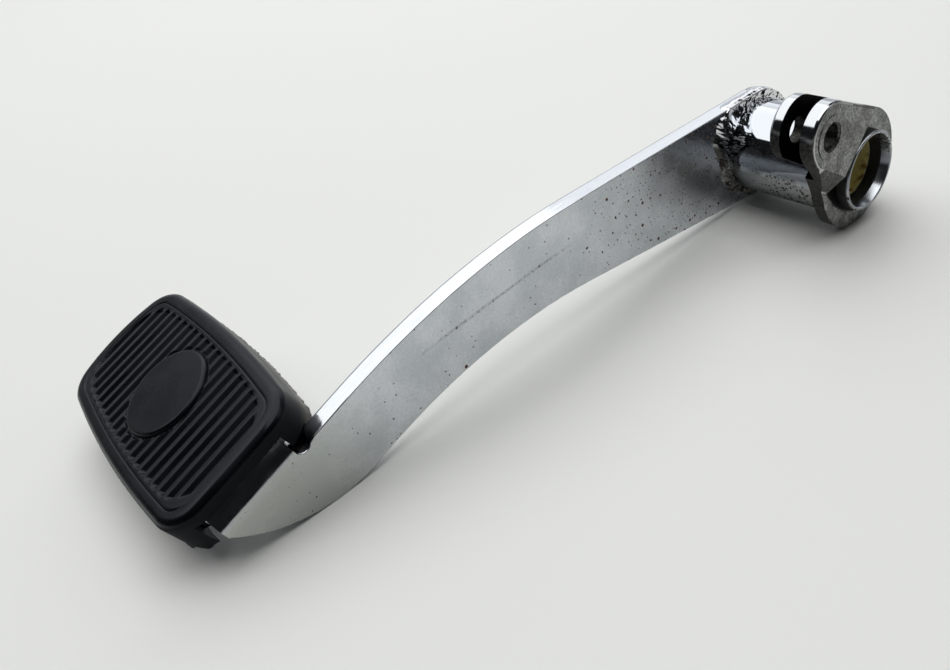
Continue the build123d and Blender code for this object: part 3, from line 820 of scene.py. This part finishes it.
# Millimetres between pits, the largest pit, and what chance has to pass far from the tube and by it
for cell, pit, rare, common in ((3.4, 0.62, 0.985, 0.3), (1.7, 0.3, 0.95, 0.2)):
    seeds = add(tree, "ShaderNodeTexVoronoi", {"voronoi_dimensions": "2D"}, {
        "Vector": flat, "Scale": 1 / (cell * MM)})
    chance = add(tree, "ShaderNodeSeparateColor", None, {0: seeds["Color"]})
    needed = add(tree, RANGE, None, {"Value": by_tube, "To Min": rare, "To Max": common})[0]
    there = add(tree, MATH, ABOVE, {0: chance["Red"], 1: needed})[0]
    size = add(tree, RANGE, None, {
        "Value": chance["Green"], "To Min": 0.35 * pit / cell, "To Max": pit / cell})[0]
    ragged = add(tree, MATH, TIMES_PLUS, {0: grit, 1: 0.12, 2: seeds["Distance"]})[0]
    inside = add(tree, MATH, MINUS, {0: size, 1: ragged})[0]
    mask = add(tree, RANGE, SMOOTH, {"Value": inside, "From Min": -0.07, "From Max": 0.0})[0]
    mask = add(tree, MATH, TIMES, {0: mask, 1: there})[0]
    rust = add(tree, MATH, LARGER, {0: rust, 1: mask})[0]
rust = add(tree, MATH, TIMES, {0: rust, 1: face})[0]
print("with rust pits", len(tree.nodes), "nodes")

# %% Chrome plate: stain line
STAIN_START, STAIN_HEIGHT, STAIN_LEAN, STAIN_BEND = 86.6 * MM, 41.9 * MM, 0.345, -0.0008 / MM
past_start = add(tree, MATH, MINUS, {0: axes["X"], 1: STAIN_START})[0]
lean = add(tree, MATH, TIMES_PLUS, {0: past_start, 1: STAIN_BEND, 2: STAIN_LEAN})[0]
climb = add(tree, MATH, TIMES_PLUS, {0: past_start, 1: lean, 2: STAIN_HEIGHT})[0]
wander = add(tree, MATH, TIMES_PLUS, {0: clouds, 1: 0.8 * MM, 2: axes["Z"]})[0]
off_line = add(tree, MATH, MINUS, {0: wander, 1: climb})[0]
off_line = add(tree, MATH, UNSIGNED, {0: off_line})[0]
stain = add(tree, RANGE, SMOOTH, {
    "Value": off_line, "From Min": 0.8 * MM, "From Max": 0.1 * MM, "To Max": 0.6})[0]
broken = add(tree, RANGE, SMOOTH, {"Value": grit, "From Min": 0.35, "From Max": 0.62})[0]
begun = add(tree, RANGE, SMOOTH, {"Value": axes["X"], "From Min": 78 * MM, "From Max": 94 * MM})[0]
not_over = add(tree, RANGE, SMOOTH, {"Value": axes["X"], "From Min": 142 * MM, "From Max": 118 * MM})[0]
for mask in (broken, begun, not_over, face):
    stain = add(tree, MATH, TIMES, {0: stain, 1: mask})[0]
beads = add(tree, NOISE, None, {"Vector": flat, "Scale": 1 / (1.6 * MM), "Detail": 0.0})[0]
beads = add(tree, RANGE, SMOOTH, {"Value": beads, "From Min": 0.62, "From Max": 0.7})[0]
for share in (stain, 1.6):
    beads = add(tree, MATH, TIMES, {0: beads, 1: share})[0]
rust = add(tree, MATH, LARGER, {0: rust, 1: beads})[0]
print("with the stain line", len(tree.nodes), "nodes")

# %% Chrome plate: colours
patches = add(tree, RANGE, SMOOTH, {"Value": clouds, "From Min": 0.34, "From Max": 0.66})[0]
haze = add(tree, MIX, COLOUR, {0: patches, 6: paint("#c2c7cc"), 7: paint("#d6dadf")})[2]
speckle = add(tree, RANGE, None, {
    "Value": grit, "From Min": 0.3, "From Max": 0.7, "To Min": 0.92, "To Max": 1.05})[0]
haze = add(tree, MIX, DARKEN, {0: 1.0, 6: haze, 7: speckle})[2]
haze = add(tree, MIX, COLOUR, {0: stain, 6: haze, 7: paint("#5c5e60")})[2]
# Towards the nose the face is painted a darker, greener grey: painted shade.
painted_shade_by_nose = add(tree, RANGE, SMOOTH, {
    "Value": axes["X"], "From Min": 150 * MM, "From Max": 182 * MM, "To Max": 0.9})[0]
haze = add(tree, MIX, COLOUR, {0: painted_shade_by_nose, 6: haze, 7: paint("#a3a6a1")})[2]
# Streaks of the polishing cloth, longest along the arm
streaks = add(tree, "ShaderNodeMapping", None, {
    "Vector": level, "Scale": (1 / (9 * MM), 1 / (1.2 * MM), 1 / (3 * MM))})[0]
wiped = add(tree, NOISE, None, {"Vector": streaks, "Scale": 1.0, "Detail": 4.0})[0]
mirror = add(tree, MIX, COLOUR, {0: wiped, 6: paint("#b4b8bd"), 7: paint("#d2d5d8")})[2]
bright = add(tree, MIX, COLOUR, {0: face, 6: mirror, 7: haze})[2]
brown = add(tree, MIX, COLOUR, {0: grit, 6: paint("#3a2618"), 7: paint("#75502f")})[2]
tone = add(tree, MIX, COLOUR, {0: rust, 6: bright, 7: brown})[2]
print("with colours", len(tree.nodes), "nodes")

# %% Chrome plate: gloss and relief
dull = add(tree, RANGE, None, {
    "Value": clouds, "From Min": 0.3, "From Max": 0.7, "To Min": 0.2, "To Max": 0.32})[0]
gloss = add(tree, RANGE, None, {
    "Value": wiped, "From Min": 0.35, "From Max": 0.75, "To Min": 0.07, "To Max": 0.2})[0]
rough = add(tree, MIX, NUMBER, {0: face, 2: gloss, 3: dull})[0]
rough = add(tree, MIX, NUMBER, {0: rust, 2: rough, 3: 0.8})[0]
metal = add(tree, RANGE, None, {"Value": rust, "To Min": 1.0, "To Max": 0.15})[0]
relief = add(tree, MATH, TIMES_PLUS, {0: rust, 1: -0.3, 2: grit})[0]
bumps = add(tree, "ShaderNodeBump", None, {"Height": relief, "Strength": 0.2, "Distance": 0.06 * MM})[0]
wire(tree, shader, Base_Color=tone, Roughness=rough, Metallic=metal, Normal=bumps)
dress("pedal_arm", plate)
print("chrome plate has", len(tree.nodes), "nodes")

# %% [markdown]
# ## Chromed tube
# The tube kept its mirror on top, where hands and cloths reach, and a dark band along its side is a painted
# reflection.
# Underneath, moisture sat on it, so the plating there is grey and peppered with pits.
# The step behind its nose is painted black as painted shade, and its bore is painted near black.

# %% Chrome tube: pits and painted shade
NOSE_RADIUS, BORE_RADIUS = 13 * MM, 11.16 * MM
tube_chrome, tree, shader = finish("chrome_tube")
spot = add(tree, "ShaderNodeTexCoord")["Object"]
axes = add(tree, "ShaderNodeSeparateXYZ", None, {0: spot})
normal = add(tree, "ShaderNodeNewGeometry")["Normal"]
facing = add(tree, "ShaderNodeSeparateXYZ", None, {0: normal})["Z"]
clouds = add(tree, NOISE, None, {"Vector": spot, "Scale": 1 / (6 * MM), "Detail": 4.0})[0]
under = add(tree, MATH, TIMES_PLUS, {0: clouds, 1: 0.5, 2: facing})[0]
under = add(tree, RANGE, SMOOTH, {"Value": under, "From Min": 0.24, "From Max": 0.12})[0]
seeds = add(tree, "ShaderNodeTexVoronoi", None, {"Vector": spot, "Scale": 1 / (0.95 * MM)})
chance = add(tree, "ShaderNodeSeparateColor", None, {0: seeds["Color"]})["Red"]
crowd = add(tree, RANGE, None, {
    "Value": axes["Y"], "From Min": 4 * MM, "From Max": 18 * MM, "To Min": 0.3, "To Max": 0.7})[0]
size = add(tree, RANGE, None, {"Value": chance, "From Min": 0.15, "To Max": crowd})[0]
inside = add(tree, MATH, MINUS, {0: size, 1: seeds["Distance"]})[0]
pits = add(tree, RANGE, SMOOTH, {"Value": inside, "From Min": -0.05, "From Max": 0.12})[0]
pits = add(tree, MATH, TIMES, {0: pits, 1: under})[0]
across = add(tree, "ShaderNodeCombineXYZ", None, {0: axes["X"], 2: axes["Z"]})[0]
radius = add(tree, VECTORS, {"operation": "LENGTH"}, {0: across})["Value"]
# Black on the nose's outer wall behind the lever is painted shade; inside the bore the tube is painted near
# black.
grease_and_painted_shade = add(tree, RANGE, SMOOTH, {"Value": axes["Y"], "From Min": 41.6 * MM, "From Max": 40.9 * MM})[0]
nose_wall = add(tree, MATH, WITHIN, {0: radius, 1: NOSE_RADIUS, 2: 0.12 * MM})[0]
past_body = add(tree, MATH, ABOVE, {0: axes["Y"], 1: 34.2 * MM})[0]
for mask in (nose_wall, past_body):
    grease_and_painted_shade = add(tree, MATH, TIMES, {0: grease_and_painted_shade, 1: mask})[0]
in_bore = add(tree, MATH, BELOW, {0: radius, 1: BORE_RADIUS})[0]
grease_and_painted_shade = add(tree, MATH, LARGER, {0: grease_and_painted_shade, 1: in_bore})[0]
dirt_and_painted_shade = add(tree, MATH, LARGER, {0: grease_and_painted_shade, 1: pits})[0]
print("dirt on the tube takes", len(tree.nodes), "nodes")

# %% Chrome tube: plating and a painted reflection band
# A dark blue-grey band along the tube's side is painted into the plating: painted reflection.
side = add(tree, MATH, MINUS, {0: facing, 1: 0.16})[0]
side = add(tree, MATH, UNSIGNED, {0: side})[0]
painted_reflection_band = add(tree, RANGE, SMOOTH, {"Value": side, "From Min": 0.3, "From Max": 0.12, "To Max": 0.75})[0]
grey = add(tree, MIX, COLOUR, {0: under, 6: paint("#bfc3c8"), 7: paint("#a4a7a8")})[2]
grey = add(tree, MIX, COLOUR, {0: painted_reflection_band, 6: grey, 7: paint("#5b606a")})[2]
dark = add(tree, MIX, COLOUR, {0: grease_and_painted_shade, 6: paint("#33291f"), 7: paint("#0c0c0c")})[2]
tone = add(tree, MIX, COLOUR, {0: dirt_and_painted_shade, 6: grey, 7: dark})[2]
rough = 0.06
for mask, dullness in ((under, 0.3), (past_body, 0.22), (dirt_and_painted_shade, 0.6)):
    rough = add(tree, MIX, NUMBER, {0: mask, 2: rough, 3: dullness})[0]
metal = add(tree, RANGE, None, {"Value": dirt_and_painted_shade, "To Min": 1.0, "To Max": 0.1})[0]
bumps = add(tree, "ShaderNodeBump", {"invert": True}, {
    "Height": pits, "Strength": 0.3, "Distance": 0.05 * MM})[0]
wire(tree, shader, Base_Color=tone, Roughness=rough, Metallic=metal, Normal=bumps)
dress("pivot_tube", tube_chrome)
print("tube finish has", len(tree.nodes), "nodes")

# %% [markdown]
# ## Forged lever
# The lever is a forging: its flat front is dull grey steel with a speckled, acid-dark skin.
# The tops of its ears were polished and plated with the rest; the plating is kept to faces that look upward,
# so the tops are partly painted light, and the other walls are painted near black as painted shade.
# A pale painted highlight runs along the outer rounded edges. The fork's slot holds black grease and painted
# shade, a black crescent of painted shade lies in the corner under the ear, and the ramp to the ear is painted
# darker.

# %% Forged lever: where things are
LEVER_ANGLE, PIN_REACH, PIN_CLEAR = radians(65), 31 * MM, 4.9 * MM
forged, tree, shader = finish("forged_steel_part_polished", Metallic=1.0)
spot, level, axes, facing = places(tree)
front = add(tree, RANGE, SMOOTH, {"Value": facing["Y"], "From Min": 0.55, "From Max": 0.9})[0]
skin = add(tree, NOISE, None, {"Vector": spot, "Scale": 1 / (0.8 * MM), "Detail": 5.0, "Roughness": 0.7})[0]
clouds = add(tree, NOISE, None, {"Vector": spot, "Scale": 1 / (5 * MM), "Detail": 3.0})[0]
lever_line = Vector((cos(LEVER_ANGLE), 0, sin(LEVER_ANGLE)))
along = add(tree, VECTORS, {"operation": "DOT_PRODUCT"}, {0: level, 1: lever_line})["Value"]
flat = add(tree, "ShaderNodeCombineXYZ", None, {0: axes["X"], 2: axes["Z"]})[0]
from_axis = add(tree, VECTORS, {"operation": "LENGTH"}, {0: flat})["Value"]
print("places on the lever take", len(tree.nodes), "nodes")

# %% Forged lever: plated ear tops, kept to upward faces as painted light
polish_and_top_light = add(tree, RANGE, SMOOTH, {"Value": along, "From Min": 17 * MM, "From Max": 25 * MM})[0]
# Only faces that look upward get the plating, so the ear tops are also lighter as painted light.
upward = add(tree, MATH, TIMES_PLUS, {0: clouds, 1: 0.3, 2: facing["Z"]})[0]
upward = add(tree, RANGE, SMOOTH, {"Value": upward, "From Min": 0.3, "From Max": 0.55})[0]
not_front = add(tree, MATH, MINUS, {0: 1.0, 1: front})[0]
from_pin = add(tree, VECTORS, {"operation": "DISTANCE"}, {0: flat, 1: lever_line * PIN_REACH})["Value"]
off_pin = add(tree, MATH, ABOVE, {0: from_pin, 1: PIN_CLEAR})[0]
for mask in (upward, not_front, off_pin):
    polish_and_top_light = add(tree, MATH, TIMES, {0: polish_and_top_light, 1: mask})[0]
print("with the polish", len(tree.nodes), "nodes")

# %% Forged lever: grease and painted shade
SLOT_FLOOR, SLOT_MIDDLE, SLOT_HALF = 21.9 * MM, 33.65 * MM, 3.4 * MM
SMEAR_ANGLE, SMEAR_CENTRE = radians(-14), (-11.9 * MM, 0, 9.6 * MM)
# The fork's slot is painted black: grease and painted shade.
past_floor = add(tree, MATH, ABOVE, {0: along, 1: SLOT_FLOOR})[0]
between = add(tree, MATH, WITHIN, {0: axes["Y"], 1: SLOT_MIDDLE, 2: SLOT_HALF})[0]
slot_grease_and_shade = add(tree, MATH, TIMES, {0: past_floor, 1: between})[0]
# A crescent of painted shade on the ring's front, beside the tube's nose
from_far = add(tree, VECTORS, {"operation": "DISTANCE"}, {0: flat, 1: SMEAR_CENTRE})["Value"]
crescent = add(tree, MATH, TIMES_PLUS, {0: skin, 1: 1.2 * MM, 2: from_far})[0]
painted_shade_crescent = add(tree, RANGE, SMOOTH, {"Value": crescent, "From Min": 30.6 * MM, "From Max": 29.6 * MM})[0]
heading = add(tree, VECTORS, {"operation": "NORMALIZE"}, {0: flat})[0]
sector = add(tree, VECTORS, {"operation": "DOT_PRODUCT"}, {
    0: heading, 1: (cos(SMEAR_ANGLE), 0, sin(SMEAR_ANGLE))})["Value"]
sector = add(tree, RANGE, SMOOTH, {"Value": sector, "From Min": 0.6, "From Max": 0.74})[0]
on_ring = add(tree, MATH, BELOW, {0: axes["Y"], 1: 38.15 * MM})[0]
for mask in (sector, on_ring, front):
    painted_shade_crescent = add(tree, MATH, TIMES, {0: painted_shade_crescent, 1: mask})[0]
grease_and_painted_shade = add(tree, MATH, LARGER, {0: slot_grease_and_shade, 1: painted_shade_crescent})[0]
print("with the grease", len(tree.nodes), "nodes")

# %% Forged lever: grey skin, painted wall shade and painted edge highlight
mottle = add(tree, RANGE, SMOOTH, {"Value": skin, "From Min": 0.3, "From Max": 0.72})[0]
grey = add(tree, MIX, COLOUR, {0: mottle, 6: paint("#565756"), 7: paint("#afb0ae")})[2]
stain = add(tree, RANGE, SMOOTH, {
    "Value": clouds, "From Min": 0.35, "From Max": 0.65, "To Min": 0.5, "To Max": 1.0})[0]
grey = add(tree, MIX, DARKEN, {0: 1.0, 6: grey, 7: stain})[2]
# Walls that don't face the front are painted near black, with the same mottle: painted shade.
painted_wall_shade = add(tree, MIX, COLOUR, {0: mottle, 6: paint("#141413"), 7: paint("#4a4a48")})[2]
grey = add(tree, MIX, COLOUR, {0: front, 6: painted_wall_shade, 7: grey})[2]
# A pale band along the rounded outer edges of the ear and the ring is a painted highlight.
rounding = add(tree, MATH, MINUS, {0: facing["Y"], 1: 0.88})[0]
rounding = add(tree, MATH, UNSIGNED, {0: rounding})[0]
slant = add(tree, RANGE, SMOOTH, {"Value": rounding, "From Min": 0.1, "From Max": 0.04})[0]
by_front = add(tree, MATH, ABOVE, {0: axes["Y"], 1: 40.25 * MM})[0]
past_neck = add(tree, MATH, ABOVE, {0: along, 1: 27 * MM})[0]
ear_edge_highlight = add(tree, MATH, TIMES, {0: by_front, 1: past_neck})[0]
on_rim = add(tree, MATH, ABOVE, {0: from_axis, 1: 18.3 * MM})[0]
by_back = add(tree, MATH, BELOW, {0: axes["Y"], 1: 38.2 * MM})[0]
ring_edge_highlight = add(tree, MATH, TIMES, {0: on_rim, 1: by_back})[0]
outer = add(tree, MATH, LARGER, {0: ear_edge_highlight, 1: ring_edge_highlight})[0]
inner = add(tree, MATH, MINUS, {0: 1.0, 1: outer})[0]
# The ramp to the ear is painted half-way to the painted wall shade.
ramp = slant
for share in (inner, 0.5):
    ramp = add(tree, MATH, TIMES, {0: ramp, 1: share})[0]
edge = add(tree, MATH, TIMES, {0: slant, 1: outer})[0]
tone = grey
for mask, colour in ((ramp, painted_wall_shade), (edge, paint("#c9cac8")),
                     (polish_and_top_light, paint("#c0c3c6")), (grease_and_painted_shade, paint("#080808"))):
    tone = add(tree, MIX, COLOUR, {0: mask, 6: tone, 7: colour})[2]
print("with the skin", len(tree.nodes), "nodes")

# %% Forged lever: gloss and relief
rough = 0.45
for mask, dullness in ((polish_and_top_light, 0.12), (grease_and_painted_shade, 0.6)):
    rough = add(tree, MIX, NUMBER, {0: mask, 2: rough, 3: dullness})[0]
off_polish_and_top_light = add(tree, MATH, MINUS, {0: 1.0, 1: polish_and_top_light})[0]
relief = add(tree, MATH, TIMES, {0: skin, 1: off_polish_and_top_light})[0]
bumps = add(tree, "ShaderNodeBump", None, {"Height": relief, "Strength": 0.45, "Distance": 0.12 * MM})[0]
wire(tree, shader, Base_Color=tone, Roughness=rough, Normal=bumps)
dress("fork_lever", forged)
print("lever finish has", len(tree.nodes), "nodes")

# %% [markdown]
# ## Bronze bushes
# Two plain bushes carry the pedal on its shaft.
# Bronze runs from yellow to brown as it wears and takes up old oil; its yellow is lightened to pale straw
# as painted light, since the bushes sit deep in the bore.

# %% Bronze
bronze, tree, shader = finish("oiled_bronze", Metallic=0.85)
spot = add(tree, "ShaderNodeTexCoord")["Object"]
clouds = add(tree, NOISE, None, {"Vector": spot, "Scale": 1 / (4 * MM), "Detail": 4.0})[0]
oil = add(tree, RANGE, SMOOTH, {"Value": clouds, "From Min": 0.52, "From Max": 0.7})[0]
# The pale straw yellow is lighter than bronze: painted light for the dim bore.
tone = add(tree, MIX, COLOUR, {0: oil, 6: paint("#e8dfa8"), 7: paint("#8a6236")})[2]
rough = add(tree, RANGE, None, {"Value": clouds, "To Min": 0.3, "To Max": 0.6})[0]
wire(tree, shader, Base_Color=tone, Roughness=rough)
for name in ("inner_bush", "outer_bush"):
    dress(name, bronze)
print("bronze has", len(tree.nodes), "nodes")

# %% [markdown]
# ## Size
# The looks must not change the object's size, so the box of the finished model is printed here,
# beside the box of the CAD model printed when it was loaded.

# %% Size and finish
low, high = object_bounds()
print("box of the finished pedal in mm:", [round(1000 * (b - a), 1) for a, b in zip(low, high)])
